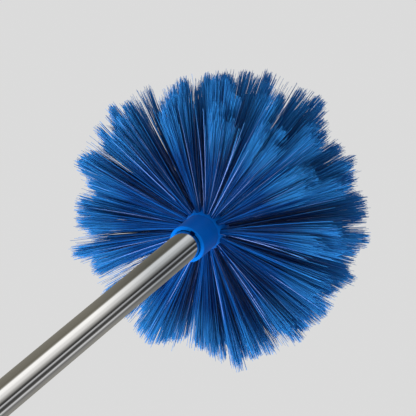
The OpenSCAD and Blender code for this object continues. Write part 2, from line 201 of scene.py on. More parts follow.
class BrushColours(bpy.types.PropertyGroup):
    """The colours of the finishes, as linear values."""

    filament_deep: FloatVectorProperty(
        name="Filament, deep", description="Darkest filaments", subtype="COLOR",
        default=(0.0, 0.009, 0.072), min=0, max=1,
    )
    filament_bright: FloatVectorProperty(
        name="Filament, bright", description="Brightest filaments", subtype="COLOR",
        default=(0.006, 0.112, 0.45), min=0, max=1,
    )
    # Paler colour of the split ends, lightened further as painted light where the tips catch the
    # light
    filament_tip: FloatVectorProperty(
        name="Filament tips", description="Split ends of the filaments", subtype="COLOR",
        default=(0.03, 0.24, 0.62), min=0, max=1,
    )
    # Painted glints: a few filaments get this pale colour in place of the streaks of light that
    # single filaments catch
    filament_glint: FloatVectorProperty(
        name="Filament, pale", description="A few filaments that are paler than the rest",
        subtype="COLOR", default=(0.22, 0.36, 0.85), min=0, max=1,
    )
    moulding: FloatVectorProperty(
        name="Moulding", description="Moulded blue plastic", subtype="COLOR",
        default=(0.0, 0.155, 0.68), min=0, max=1,
    )
    steel: FloatVectorProperty(
        name="Steel", description="Stainless steel of the tubes", subtype="COLOR",
        default=(0.73, 0.72, 0.70), min=0, max=1,
    )
    rubber: FloatVectorProperty(
        name="Rubber", description="Rubber of the grip", subtype="COLOR",
        default=(0.022, 0.022, 0.024), min=0, max=1,
    )
    nylon: FloatVectorProperty(
        name="Nylon", description="White nylon of the bush and the clamp ring", subtype="COLOR",
        default=(0.74, 0.73, 0.69), min=0, max=1,
    )


class TipSizes(bpy.types.PropertyGroup):
    """The thread of the pole's tip."""

    thread_r: FloatProperty(
        name="Thread radius", description="Radius over the thread's crests",
        default=8.5 * MM, unit="LENGTH",
    )
    depth: FloatProperty(
        name="Thread depth", description="Depth of the thread", default=1.1 * MM, unit="LENGTH",
    )
    pitch: FloatProperty(
        name="Pitch", description="Climb of the thread in one turn", default=3.5 * MM, unit="LENGTH",
    )
    turns: IntProperty(name="Turns", description="Number of turns", default=5, min=1)


class StudioSettings(bpy.types.PropertyGroup):
    """The camera, as the pole lies in the picture, and the lamps."""

    focal: FloatProperty(
        name="Focal length", description="Focal length in picture widths", default=6.27,
    )
    distance: FloatProperty(
        name="Distance", description="Depth of the collar's mouth before the camera",
        default=1.895, unit="LENGTH",
    )
    lean: FloatProperty(
        name="Lean", description="Angle between the pole and the line of sight",
        default=math.radians(36.5), unit="ROTATION",
    )
    slope: FloatProperty(
        name="Slope", description="Slope of the pole in the picture",
        default=math.radians(39.5), unit="ROTATION",
    )
    turn: FloatProperty(
        name="Turn", description="Turn of the camera round the pole",
        default=math.radians(18.9), unit="ROTATION",
    )
    mouth_x: FloatProperty(
        name="Mouth across", description="Column of the picture where the collar's mouth is",
        default=186.6, subtype="PIXEL",
    )
    mouth_y: FloatProperty(
        name="Mouth down", description="Row of the picture where the collar's mouth is",
        default=244.6, subtype="PIXEL",
    )
    key: FloatProperty(
        name="Key", description="Power of the key lamp", default=420.0, unit="POWER",
    )
    fill: FloatProperty(
        name="Fill", description="Power of the fill lamp", default=0.5, unit="POWER",
    )
    top: FloatProperty(
        name="Top", description="Power of the lamp over the head", default=30.0, unit="POWER",
    )
    room: FloatProperty(name="Room", description="Strength of the light from all round", default=0.6)
    floor_z: FloatProperty(
        name="Floor height", description="Height of the floor, well under the raised brush",
        default=-6.0, unit="LENGTH",
    )


Settings = namedtuple("Settings", "hub filaments colours studio tip")


def settings():
    """The brush's property groups, kept on the scene."""
    scene = bpy.context.scene
    return Settings(
        hub=scene.brush_hub, filaments=scene.brush_filaments, colours=scene.brush_colours,
        studio=scene.brush_studio, tip=scene.brush_tip,
    )


# Shader helpers

class Wire:
    """A value in a node tree. Arithmetic on it adds Math nodes."""

    def __init__(self, sheet, socket):
        self.sheet = sheet
        self.socket = socket

    def math(self, operation, *values):
        return self.sheet.add("ShaderNodeMath", {"operation": operation}, dict(enumerate(values)))

    def __add__(self, other):
        return self.math("ADD", self, other)

    def __radd__(self, other):
        return self.math("ADD", other, self)

    def __sub__(self, other):
        return self.math("SUBTRACT", self, other)

    def __rsub__(self, other):
        return self.math("SUBTRACT", other, self)

    def __mul__(self, other):
        return self.math("MULTIPLY", self, other)

    def __rmul__(self, other):
        return self.math("MULTIPLY", other, self)

    def __truediv__(self, other):
        return self.math("DIVIDE", self, other)

    def clamp(self, low=0.0, high=1.0):
        return self.math("MINIMUM", self.math("MAXIMUM", self, low), high)

    def rise(self, start, width):
        """0 up to start, 1 from start + width on, and a straight climb between them."""
        return ((self - start) / width).clamp()

    def other(self, name):
        """Another output of the same node."""
        return Wire(self.sheet, self.socket.node.outputs[name])


class Sheet:
    """The nodes of one material or world."""

    def __init__(self, owner):
        owner.use_nodes = True
        self.tree = owner.node_tree
        self.tree.nodes.clear()

    def add(self, kind, options=None, sockets=None, out=0):
        """Adds a node of that kind: its options first, then the values or links of its sockets."""
        node = self.tree.nodes.new(kind)
        for name, value in (options or {}).items():
            if name == "stops":
                ramp = node.color_ramp
                while len(ramp.elements) < len(value):
                    ramp.elements.new(1.0)
                for element, (place, colour) in zip(ramp.elements, value):
                    element.position = place
                    element.color = colour
            else:
                setattr(node, name, value)
        for name, value in (sockets or {}).items():
            if isinstance(value, Wire):
                self.tree.links.new(value.socket, node.inputs[name])
            else:
                node.inputs[name].default_value = value
        return Wire(self, node.outputs[out]) if len(node.outputs) else None

    def place(self, scale=(1, 1, 1)):
        """Object coordinates, stretched by scale."""
        here = self.add("ShaderNodeTexCoord", out="Object")
        return self.add("ShaderNodeMapping", {}, {"Vector": here, "Scale": scale})

    def noise(self, where, scale, detail=3.0, roughness=0.5):
        return self.add("ShaderNodeTexNoise", {}, {
            "Vector": where, "Scale": scale, "Detail": detail, "Roughness": roughness,
        })

    def blend(self, share, low, high):
        """A colour between low and high."""
        options = {"data_type": "RGBA"}
        sockets = {0: share, 6: colour(low), 7: colour(high)}
        return self.add("ShaderNodeMix", options, sockets, out=2)

    def bump(self, height, strength, distance):
        return self.add("ShaderNodeBump", {}, {
            "Height": height, "Strength": strength, "Distance": distance,
        })

    def surface(self, sockets):
        shader = self.add("ShaderNodeBsdfPrincipled", {}, sockets)
        self.add("ShaderNodeOutputMaterial", {}, {"Surface": shader})


def colour(value):
    """A colour with full alpha, or a link as it is."""
    return value if isinstance(value, Wire) else (*value[:3], 1.0)


def grey(value):
    return (value, value, value, 1.0)


def tone(value, share, lift=0.0):
    """A colour times a share, and lifted towards white."""
    return tuple(c * share + lift for c in value)


def tint(value, shares):
    """A colour with each channel times its own share."""
    return tuple(c * share for c, share in zip(value, shares))


def new_material(name):
    material = bpy.data.materials.new(name)
    return material, Sheet(material)


# Finishes

# A filament's shade runs from 0 to 1, and past this value it is one of the few with a painted glint
GLINT_FROM = 0.93
# Painted reflection of the dark bristles on the tube under the head, where the tube would mirror
# them: how far below the collar's mouth it begins and is full, and what it leaves of the steel's
# red, green and blue
PAINTED_REFLECTION_BEGINS = 140 * MM
PAINTED_REFLECTION_FULL = 60 * MM
PAINTED_REFLECTION_TINT = (0.58, 0.61, 0.64)


def filament_finish():
    """Extruded blue filament: each has its own shade, a few are painted pale as glints, and its
    split end is paler, partly its own colour and partly painted light where the tips catch it.
    """
    palette = settings().colours
    material, sheet = new_material("blue_filament_finish")
    strand = sheet.add("ShaderNodeUVMap", {"uv_map": "strand"})
    own = sheet.add("ShaderNodeSeparateXYZ", {}, {"Vector": strand}, out="X")
    along = own.other("Y")
    body = sheet.blend(own, palette.filament_deep, palette.filament_bright)
    # The few filaments of shade 1 get the pale colour, as painted glints
    glinted = sheet.blend(own.rise(GLINT_FROM, 0.04) * 0.8, body, palette.filament_glint)
    # Towards the tip the colour turns paler: partly the split ends' own paler colour, partly painted
    # light where the tips catch it
    end = along.rise(0.6, 0.4)
    sheet.surface({
        "Base Color": sheet.blend(end * 0.75, glinted, palette.filament_tip),
        "Roughness": 0.3 + 0.2 * end,
        "IOR": 1.49,
        "Specular IOR Level": 0.03,
    })
    return material


def moulding_finish():
    """Moulded blue plastic: softly glossy, with the faint waves and dust marks of use."""
    palette = settings().colours
    material, sheet = new_material("blue_moulding_finish")
    waves = sheet.noise(sheet.place(), scale=60.0, detail=2.0)
    grain = sheet.noise(sheet.place(), scale=900.0, detail=3.0)
    scuffs = sheet.noise(sheet.place((40, 40, 260)), scale=1.0, detail=5.0, roughness=0.7)
    worn = scuffs.rise(0.56, 0.2)
    base = sheet.blend(waves, tone(palette.moulding, 0.86), palette.moulding)
    sheet.surface({
        "Base Color": sheet.blend(worn * 0.35, base, tone(palette.moulding, 0.9, 0.03)),
        "Roughness": 0.4 + 0.12 * grain + 0.14 * worn,
        "Specular IOR Level": 0.05,
        "Normal": sheet.bump(waves * 0.6 + grain * 0.12, strength=0.12, distance=0.0006),
    })
    return material


def steel_finish():
    """Drawn stainless tube, polished along its length, and darkened under the head by a painted
    reflection of the bristles.
    """
    palette = settings().colours
    material, sheet = new_material("stainless_tube_finish")
    lines = sheet.noise(sheet.place((2600, 2600, 14)), scale=1.0, detail=3.0, roughness=0.6)
    marks = sheet.noise(sheet.place((90, 90, 30)), scale=1.0, detail=4.0, roughness=0.65)
    smear = marks.rise(0.5, 0.22)
    polished = sheet.blend(smear * 0.5, palette.steel, tone(palette.steel, 0.93))
    height = sheet.add("ShaderNodeSeparateXYZ", {}, {"Vector": sheet.place()}, out="Z")
    # Painted reflection: towards the collar's mouth the steel is darkened and a little roughened, in
    # place of the dark bristles that it would mirror
    reflection_low = MOUTH_Z - PAINTED_REFLECTION_BEGINS
    reflection_high = MOUTH_Z - PAINTED_REFLECTION_FULL
    painted_reflection = height.rise(reflection_low, reflection_high - reflection_low)
    sheet.surface({
        "Base Color": sheet.blend(painted_reflection, polished, tint(palette.steel, PAINTED_REFLECTION_TINT)),
        "Metallic": 1.0,
        "Roughness": 0.04 + 0.04 * lines + 0.05 * smear + 0.04 * painted_reflection,
    })
    return material


def wire_finish():
    """Plain drawn steel wire and pins."""
    material, sheet = new_material("steel_wire_finish")
    lines = sheet.noise(sheet.place((700, 700, 60)), scale=1.0, detail=2.0)
    sheet.surface({
        "Base Color": sheet.blend(lines, (0.42, 0.42, 0.41), (0.6, 0.59, 0.57)),
        "Metallic": 1.0,
        "Roughness": 0.28 + 0.15 * lines,
    })
    return material


def rubber_finish():
    """Matt moulded rubber, greyed in patches by dust."""
    palette = settings().colours
    material, sheet = new_material("black_rubber_finish")
    grain = sheet.noise(sheet.place(), scale=1400.0, detail=4.0, roughness=0.6)
    patches = sheet.noise(sheet.place(), scale=45.0, detail=4.0, roughness=0.6)
    dusty = patches.rise(0.45, 0.25)
    sheet.surface({
        "Base Color": sheet.blend(dusty * 0.6, palette.rubber, tone(palette.rubber, 2.0, 0.012)),
        "Roughness": 0.66 + 0.2 * grain,
        "Normal": sheet.bump(grain, strength=0.3, distance=0.0002),
    })
    return material


def nylon_finish():
    """Unfilled white nylon, a little waxy."""
    palette = settings().colours
    material, sheet = new_material("white_nylon_finish")
    waves = sheet.noise(sheet.place(), scale=160.0, detail=3.0)
    yellowed = tint(palette.nylon, (1.0, 0.98, 0.9))
    sheet.surface({
        "Base Color": sheet.blend(waves, palette.nylon, yellowed),
        "Roughness": 0.42 + 0.16 * waves,
        "Subsurface Weight": 0.1,
        "Normal": sheet.bump(waves, strength=0.1, distance=0.0003),
    })
    return material


def dark_plastic_finish():
    """Moulded satin plastic of the pole tip."""
    material, sheet = new_material("dark_plastic_finish")
    grain = sheet.noise(sheet.place(), scale=1100.0, detail=3.0)
    sheet.surface({
        "Base Color": sheet.blend(grain, (0.018, 0.018, 0.02), (0.03, 0.03, 0.032)),
        "Roughness": 0.4 + 0.2 * grain,
        "Normal": sheet.bump(grain, strength=0.15, distance=0.0001),
    })
    return material


FINISHES = {
    "blue_filament": filament_finish,
    "blue_moulding": moulding_finish,
    "stainless_tube": steel_finish,
    "steel_wire": wire_finish,
    "black_rubber": rubber_finish,
    "white_nylon": nylon_finish,
    "dark_plastic": dark_plastic_finish,
}


def finish(slot):
    """The material of that slot, made when it is first asked for."""
    return bpy.data.materials.get(f"{slot}_finish") or FINISHES[slot]()


def dress(piece, slot):
    """Gives a new piece its finish and names its slot."""
    piece.data.materials.clear()
    piece.data.materials.append(finish(slot))


# Modelling helpers

def deselect():
    if bpy.context.mode != "OBJECT":
        bpy.ops.object.mode_set(mode="OBJECT")
    bpy.ops.object.select_all(action="DESELECT")


def outline(name, profile):
    """A closed outline beside the pole's axis, through points of (radius, height)."""
    deselect()
    bpy.ops.mesh.primitive_plane_add(size=1)
    piece = bpy.context.active_object
    piece.name = piece.data.name = name
    piece.data.clear_geometry()
    count = len(profile)
    edges = [(i, (i + 1) % count) for i in range(count)]
    piece.data.from_pydata([(r, 0, z) for r, z in profile], edges, [])
    return piece


def lathe(name, profile, steps=96):
    """A closed ring of the given outline, spun round the pole's axis."""
    piece = outline(name, profile)
    bpy.ops.object.mode_set(mode="EDIT")
    bpy.ops.mesh.select_all(action="SELECT")
    bpy.ops.mesh.spin(steps=steps, angle=math.tau, center=(0, 0, 0), axis=(0, 0, 1))
    bpy.ops.mesh.select_all(action="SELECT")
    bpy.ops.mesh.remove_doubles(threshold=WELD)
    bpy.ops.mesh.normals_make_consistent(inside=False)
    bpy.ops.object.mode_set(mode="OBJECT")
    return piece


def bevel(piece, width, segments=2, angle=math.radians(30)):
    """Rounds the sharp edges of a piece and shades it smooth."""
    deselect()
    piece.select_set(True)
    bpy.context.view_layer.objects.active = piece
    rounder = piece.modifiers.new("rounder", "BEVEL")
    rounder.width = width
    rounder.segments = segments
    rounder.angle_limit = angle
    bpy.ops.object.modifier_apply(modifier=rounder.name)
    bpy.ops.object.shade_smooth_by_angle(angle=angle)


def helix(name, profile, pitch, turns, steps):
    """A closed strip of the given outline that climbs round the pole's axis."""
    piece = outline(name, profile)
    screw = piece.modifiers.new("screw", "SCREW")
    screw.axis = "Z"
    screw.screw_offset = pitch
    screw.iterations = turns
    screw.steps = screw.render_steps = steps
    screw.use_merge_vertices = False
    bpy.ops.object.modifier_apply(modifier=screw.name)
    bpy.ops.object.mode_set(mode="EDIT")
    bpy.ops.mesh.select_all(action="SELECT")
    bpy.ops.mesh.fill_holes(sides=len(profile))
    bpy.ops.mesh.select_all(action="SELECT")
    bpy.ops.mesh.normals_make_consistent(inside=False)
    bpy.ops.object.mode_set(mode="OBJECT")
    return piece


def cut(piece, cutter):
    """Takes the cutter's shape out of a piece and removes the cutter."""
    deselect()
    piece.select_set(True)
    bpy.context.view_layer.objects.active = piece
    taken = piece.modifiers.new("taken", "BOOLEAN")
    taken.operation = "DIFFERENCE"
    taken.solver = "EXACT"
    taken.object = cutter
    bpy.ops.object.modifier_apply(modifier=taken.name)
    bpy.data.objects.remove(cutter)


def fair_copy(node, name):
    """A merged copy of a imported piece, in its place and on its body, to be worked further."""
    source = frame["nodes"][node]
    piece = bpy.data.objects.new(name, source.data.copy())
    piece.data.name = name
    bpy.context.scene.collection.objects.link(piece)
    deselect()
    piece.select_set(True)
    bpy.context.view_layer.objects.active = piece
    bpy.ops.object.mode_set(mode="EDIT")
    bpy.ops.mesh.select_all(action="SELECT")
    bpy.ops.mesh.remove_doubles(threshold=WELD)
    bpy.ops.mesh.dissolve_limited(angle_limit=FLAT)
    bpy.ops.object.mode_set(mode="OBJECT")
    record = frame["record"]
    dress(piece, next(s["material_slot"] for s in record["subparts"] if s["node"] == node))
    bodies = record["behaviour"]["bodies"]
    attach(piece, next(body for body, held in bodies.items() if node in held))
    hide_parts(node)
    return piece


# Pole

def make_pole_tip():
    """The tip's stub with its thread, in place of the plain stub."""
    tip = settings().tip
    piece = fair_copy("pole_tip", "threaded_tip")
    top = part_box("pole_tip")[1].z
    half = tip.pitch / 2
    floor, mouth = 0.2 * half, 1.2 * half
    inner, outer = tip.thread_r - tip.depth, tip.thread_r + tip.depth
    groove = [(inner, -floor), (inner, floor), (outer, mouth), (outer, -mouth)]
    low = top - tip.turns * tip.pitch + half
    profile = [(r, low + z) for r, z in groove]
    cut(piece, helix("groove", profile, tip.pitch, tip.turns, steps=48))
    bpy.ops.object.shade_smooth_by_angle(angle=math.radians(35))
    return piece


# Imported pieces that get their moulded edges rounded: node, new name, radius of the rounding
ROUNDED = (
    ("lock_nut", "twist_nut", 0.35 * MM),
    ("lock_body", "twist_body", 0.3 * MM),
    ("end_cap", "foot_cap", 0.5 * MM),
    ("hang_loop", "foot_loop", 0.4 * MM),
    ("grip_sleeve", "rubber_grip", 0.35 * MM),
)


# Hub and filaments

# Rounding of a band's edges, and how far its inner edge is drawn back, as a share of the skin
BAND_ROUNDING = 0.35 * MM
BAND_DRAWN_BACK = 0.35
# Start of the random draws of the first row
SEED = 40
# Unevenness of the tufts' places round a band, as a share of their spacing
TUFT_PLACE = 0.06
# How deep in the hub a filament is rooted
ROOT_DEPTH = 1.5 * MM
# Share of the filaments that stray from their tuft, and how many times wider these fan
STRAY_SHARE = 0.05
STRAY_FAN = 2.1
# Unevenness of each filament's own direction, in radians
OWN_WAY = 0.010
# Fan of the tufts opposite the pushed side, as a share of the named one
FAR_SIDE_FAN = 1.2
# Unevenness of the clumps' places round their tuft, in radians, and the least and greatest
# distance of a clump from the tuft's middle, as a share of the fan
CLUMP_PLACE = 0.25
CLUMP_APART = (0.5, 0.8)
# Share of the filaments that are cut short, and the least and greatest cut in millimetres
SHORT_SHARE = 0.06
SHORT_BY = (3, 16)
# Least and greatest thickness of a filament, as a share of the named one
THICKNESS_RANGE = (0.85, 1.1)
# Any direction, used only to find two that are square to a filament
ASKEW = np.array([0.31, 0.2, 0.93])
# How the shades spread between dark and bright, how far a whole tuft is off, and the share of
# filaments with a painted glint
SHADE_SPREAD = (0.9, 1.3)
TUFT_SHADE = 0.06
GLINT_SHARE = 0.03


def band_lean(k):
    hub = settings().hub
    return hub.rear_lean - k * hub.lean_step


def corners():
    """The corners between the bands as (radius, height over the collar), rear to front."""
    hub = settings().hub
    found = [Vector((hub.rear_r, 0.0))]
    for k in range(hub.bands):
        lean = band_lean(k)
        way = Vector((-math.cos(lean), math.sin(lean)))
        last = k == hub.bands - 1
        height = (found[-1].x - hub.nose_r) / math.cos(lean) if last else hub.band_h
        found.append(found[-1] + way * height)
    return found


def collar_end():
    """Height of the end of the collar, where the hub begins."""
    return MOUTH_Z + settings().hub.collar_len


def make_hub_band(k):
    """One band of the hub's skin, which the filaments of its tufts come out of."""
    hub = settings().hub
    points = corners()
    lean = band_lean(k)
    way = Vector((-math.cos(lean), math.sin(lean)))
    inward = -Vector((math.sin(lean), math.cos(lean)))
    low = points[k] + way * hub.seat_gap / 2
    high = points[k + 1] - way * hub.seat_gap / 2
    drawn = BAND_DRAWN_BACK * hub.skin
    profile = [low, high, high + inward * hub.skin - way * drawn, low + inward * hub.skin]
    if k == 0:
        profile[3] = low - Vector((hub.skin, 0))
    top = collar_end()
    piece = lathe(f"hub_band_{k + 1}", [(p.x, p.y + top) for p in profile])
    bevel(piece, BAND_ROUNDING)
    dress(piece, "blue_moulding")
    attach(piece, "head")
    return piece


def filament_form():
    """Points and triangles of one filament, of length 1 along +Z and radius 1.

    Its three long edges are cut, so that it can bow, and its free end is narrowed.
    """
    cuts = 3
    narrow = 0.7
    deselect()
    bpy.ops.mesh.primitive_cylinder_add(
        vertices=3, radius=1, depth=1, end_fill_type="NGON", location=(0, 0, 0.5)
    )
    form = bpy.context.active_object
    bpy.ops.object.transform_apply(location=True, rotation=False, scale=False)
    bpy.ops.object.mode_set(mode="EDIT")
    bpy.ops.mesh.select_mode(type="EDGE")
    bpy.ops.mesh.select_all(action="DESELECT")
    bpy.ops.object.mode_set(mode="OBJECT")
    for edge in form.data.edges:
        a, b = (form.data.vertices[v].co for v in edge.vertices)
        edge.select = abs(a.z - b.z) > 0.5
    bpy.ops.object.mode_set(mode="EDIT")
    bpy.ops.mesh.subdivide(number_cuts=cuts)
    bpy.ops.mesh.select_mode(type="VERT")
    bpy.ops.mesh.select_all(action="DESELECT")
    bpy.ops.object.mode_set(mode="OBJECT")
    for vertex in form.data.vertices:
        vertex.select = vertex.co.z > 0.99
    bpy.ops.object.mode_set(mode="EDIT")
    bpy.ops.transform.resize(value=(narrow, narrow, 1), center_override=(0, 0, 1))
    bpy.ops.mesh.select_all(action="SELECT")
    bpy.ops.mesh.quads_convert_to_tris()
    bpy.ops.object.mode_set(mode="OBJECT")
    points = np.array([v.co for v in form.data.vertices])
    faces = np.array([list(p.vertices) for p in form.data.polygons])
    bpy.data.objects.remove(form)
    return points, faces


def unit(vectors):
    return vectors / np.linalg.norm(vectors, axis=-1, keepdims=True)


def pushed_here(azimuth):
    """How much of the push a tuft at that azimuth gets, from 0 to 1."""
    return (1 + math.cos(azimuth - settings().filaments.pushed_side)) / 2


def tuft_lean(k, azimuth):
    """Lean of a tuft, with the push that use has given to the rows on one side."""
    sizes = settings().filaments
    return band_lean(k) - sizes.pushed * sizes.pushed_share**k * pushed_here(azimuth)


def gather_clumps(across, along, chance):
    """The places of a tuft's filaments, drawn towards their clumps, and each one's clump."""
    sizes = settings().filaments
    turns = (np.arange(sizes.clumps) + chance.uniform(0, 1)) * math.tau / sizes.clumps
    turns += chance.normal(0, CLUMP_PLACE, sizes.clumps)
    apart = chance.uniform(*CLUMP_APART, sizes.clumps)
    middles = np.stack((np.cos(turns) * apart, np.sin(turns) * apart), axis=1)
    places = np.stack((across, along), axis=1)
    clump = np.linalg.norm(places[:, None] - middles[None], axis=2).argmin(axis=1)
    drawn = places + (middles[clump] - places) * sizes.gather
    return drawn[:, 0], drawn[:, 1], clump


def reach_to_ball(roots, ways):
    """Distance along each way from its root to the ball that the tufts are trimmed to."""
    sizes = settings().filaments
    ball = np.array([0.0, 0.0, collar_end() + sizes.ball_ahead])
    arm = roots - ball
    dot = np.einsum("ij,ij->i", arm, ways)
    return np.sqrt(dot**2 - np.einsum("ij,ij->i", arm, arm) + sizes.ball_r**2) - dot


def filament_trim(spread, clump, chance):
    """How much longer than its reach to the ball each filament of a tuft is, mostly below 0."""
    sizes = settings().filaments
    count = len(spread)
    trim = chance.normal(0, sizes.uneven) - sizes.rounding * spread**3
    trim += chance.normal(0, sizes.clump_uneven, sizes.clumps)[clump]
    trim -= np.abs(chance.normal(0, sizes.ragged, count))
    short = chance.uniform(0, 1, count) < SHORT_SHARE
    trim -= np.where(short, chance.uniform(*SHORT_BY, count) * MM, 0)
    return trim


def tuft_filaments(k, azimuth, chance):
    """Where each filament of a tuft starts, where its tip lies from there, and how it bows."""
    sizes = settings().filaments
    count = sizes.per_tuft
    points = corners()
    middle = (points[k] + points[k + 1]) / 2
    out = np.array([math.cos(azimuth), math.sin(azimuth), 0.0])
    side = np.array([-out[1], out[0], 0.0])
    ahead = np.array([0.0, 0.0, 1.0])
    lean = tuft_lean(k, azimuth) + chance.normal(0, sizes.sway)
    tuft_way = out * math.sin(lean) + ahead * math.cos(lean)
    tuft_way = unit(tuft_way + side * chance.normal(0, sizes.sway))
    rise = np.cross(tuft_way, side)
    centre = out * middle.x + ahead * (collar_end() + middle.y)

    spread = np.sqrt(chance.uniform(0, 1, count))
    about = chance.uniform(0, math.tau, count)
    across, along = spread * np.cos(about), spread * np.sin(about)
    clumped_across, clumped_along, clump = gather_clumps(across, along, chance)
    stray = np.where(chance.uniform(0, 1, count) < STRAY_SHARE, STRAY_FAN, 1.0)
    fan_round = sizes.fan_round * (FAR_SIDE_FAN - sizes.squeezed * pushed_here(azimuth))
    turn_a = (clumped_across * fan_round + chance.normal(0, OWN_WAY, count)) * stray
    turn_b = (clumped_along * sizes.fan_along + chance.normal(0, OWN_WAY, count)) * stray
    ways = unit(tuft_way + side * np.tan(turn_a)[:, None] + rise * np.tan(turn_b)[:, None])

    roots = (
        centre
        + side * (across * sizes.hole_r)[:, None]
        + rise * (along * sizes.hole_r)[:, None]
        - tuft_way * ROOT_DEPTH
    )
    lengths = reach_to_ball(roots, ways) + filament_trim(spread, clump, chance)
    common = side * chance.normal(0, sizes.bow) + rise * chance.normal(0, sizes.bow)
    own = (
        side * chance.normal(0, sizes.bow, count)[:, None]
        + rise * chance.normal(0, sizes.bow, count)[:, None]
    )
    return roots, ways * lengths[:, None], common + own


def filament_points(points, roots, spans, bows, chance):
    """The form's points, placed along every filament."""
    count = len(roots)
    ways = unit(spans)
    first = unit(np.cross(ways, ASKEW))
    second = np.cross(ways, first)
    spin = chance.uniform(0, math.tau, count)
    radius = settings().filaments.thickness / 2 * chance.uniform(*THICKNESS_RANGE, count)
    x, y, t = points.T
    cos, sin = np.cos(spin)[:, None], np.sin(spin)[:, None]
    along_first = (x * cos - y * sin) * radius[:, None]
    along_second = (x * sin + y * cos) * radius[:, None]
    return (
        roots[:, None]
        + spans[:, None] * t[None, :, None]
        + bows[:, None] * (t**2)[None, :, None]
        + first[:, None] * along_first[..., None]
        + second[:, None] * along_second[..., None]
    )


def filament_shades(count, tufts, chance):
    """Shade of every filament, from 0 for the darkest to 1 for the few with a painted glint."""
    own = chance.beta(*SHADE_SPREAD, count)
    shade = own + np.repeat(chance.normal(0, TUFT_SHADE, tufts), count // tufts)
    shade = np.clip(shade, 0, GLINT_FROM)
    # These few filaments are the ones with a painted glint
    shade[chance.uniform(0, 1, count) < GLINT_SHARE] = 1.0
    return shade


def make_tuft_row(k, form):
    """All the filaments of one band's tufts, as one mesh in place of the plain strands."""
    hub = settings().hub
    points, faces = form
    chance = np.random.default_rng(SEED + k)
    middle = (corners()[k] + corners()[k + 1]) / 2
    tufts = math.floor(math.tau * middle.x / hub.tuft_pitch)
    sets = []
    for t in range(tufts):
        place = t + 0.5 + chance.normal(0, TUFT_PLACE)
        azimuth = hub.row_twist * k + place * math.tau / tufts
        sets.append(tuft_filaments(k, azimuth, chance))
    roots, spans, bows = (np.concatenate([s[i] for s in sets]) for i in range(3))
    count = len(roots)
    verts = filament_points(points, roots, spans, bows, chance)
    tris = (faces[None] + (np.arange(count) * len(points))[:, None, None]).reshape(-1, 3)
    name = f"filaments_{k + 1}"
    mesh = bpy.data.meshes.new(name)
    mesh.from_pydata(verts.reshape(-1, 3), [], tris)
    uv = np.empty((count, len(points), 2))
    uv[..., 0] = filament_shades(count, tufts, chance)[:, None]
    uv[..., 1] = points[:, 2]
    layer = mesh.uv_layers.new(name="strand")
    layer.data.foreach_set("uv", uv.reshape(-1, 2)[tris.ravel()].ravel())
    mesh.update()
    piece = bpy.data.objects.new(name, mesh)
    bpy.context.scene.collection.objects.link(piece)
    dress(piece, "blue_filament")
    piece.visible_glossy = False
    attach(piece, "head")
    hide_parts(f"tuft_row_{k + 1}")
    return piece


class BRUSH_OT_pole_tip(bpy.types.Operator):
    """Make the threaded tip of the pole"""

    bl_idname = "brush.pole_tip"
    bl_label = "Pole tip"

    def execute(self, context):
        make_pole_tip()
        return {"FINISHED"}


class BRUSH_OT_mouldings(bpy.types.Operator):
    """Round the edges of the lock, the grip and the end of the pole"""

    bl_idname = "brush.mouldings"
    bl_label = "Rounded mouldings"

    def execute(self, context):
        for node, name, radius in ROUNDED:
            bevel(fair_copy(node, name), radius)
        return {"FINISHED"}


class BRUSH_OT_hub_bands(bpy.types.Operator):
    """Make the bands of the hub's skin"""

    bl_idname = "brush.hub_bands"
    bl_label = "Hub bands"

    def execute(self, context):
        for k in range(settings().hub.bands):
            make_hub_band(k)
        return {"FINISHED"}


class BRUSH_OT_filaments(bpy.types.Operator):
    """Make the filaments of every tuft"""

    bl_idname = "brush.filaments"
    bl_label = "Filaments"

    def execute(self, context):
        form = filament_form()
        for k in range(settings().hub.bands):
            make_tuft_row(k, form)
        return {"FINISHED"}


class BRUSH_OT_finishes(bpy.types.Operator):
    """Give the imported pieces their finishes"""

    bl_idname = "brush.finishes"
    bl_label = "Finishes"

    def execute(self, context):
        slots = {s["node"]: s["material_slot"] for s in frame["record"]["subparts"]}
        for name, node in frame["nodes"].items():
            node.data.materials.clear()
            node.data.materials.append(finish(slots[name]))
        return {"FINISHED"}


# Studio

def camera_turn():
    """The camera's rotation, from the way the pole lies in the picture."""
    studio = settings().studio
    s, c = math.sin(studio.lean), math.cos(studio.lean)
    along = Vector((math.cos(studio.slope), math.sin(studio.slope), 0))
    pole = along * s - Vector((0, 0, c))
    near = along * c + Vector((0, 0, s))
    across = Vector((-along.y, along.x, 0))
    row_x = near * math.sin(studio.turn) - across * math.cos(studio.turn)
    row_y = -near * math.cos(studio.turn) - across * math.sin(studio.turn)
    return Matrix((row_x, row_y, pole))


class BRUSH_OT_camera(bpy.types.Operator):
    """Place the camera"""

    bl_idname = "brush.camera"
    bl_label = "Camera"

    def execute(self, context):
        studio = settings().studio
        turn = camera_turn()
        focal = studio.focal * PICTURE
        middle = PICTURE / 2
        mouth = Vector((
            (studio.mouth_x - middle) / focal, (middle - studio.mouth_y) / focal, -1
        )) * studio.distance
        lens = bpy.data.cameras.new("camera")
        lens.sensor_width = SENSOR
        lens.lens = SENSOR * studio.focal
        lens.clip_start, lens.clip_end = 0.05, 60
        camera = bpy.data.objects.new("camera", lens)
        context.scene.collection.objects.link(camera)
        camera.matrix_world = Matrix.Translation(
            Vector((0, 0, MOUTH_Z)) - turn @ mouth
        ) @ turn.to_4x4()
        context.scene.camera = camera
        return {"FINISHED"}


def lamp(name, way, distance, size, power):
    """A square soft lamp aimed at the head, which stands in the given direction from it."""
    head = Vector((0, 0, collar_end()))
    back = Vector(way).normalized()
    light = bpy.data.lights.new(name, "AREA")
    light.shape = "SQUARE"
    light.size = size
    light.energy = power
    thing = bpy.data.objects.new(name, light)
    bpy.context.scene.collection.objects.link(thing)
    thing.rotation_mode = "QUATERNION"
    thing.rotation_quaternion = back.to_track_quat("Z", "Y")
    thing.location = head + back * distance
    thing.visible_glossy = False


# Grey of the plain background
BACKGROUND = 0.71
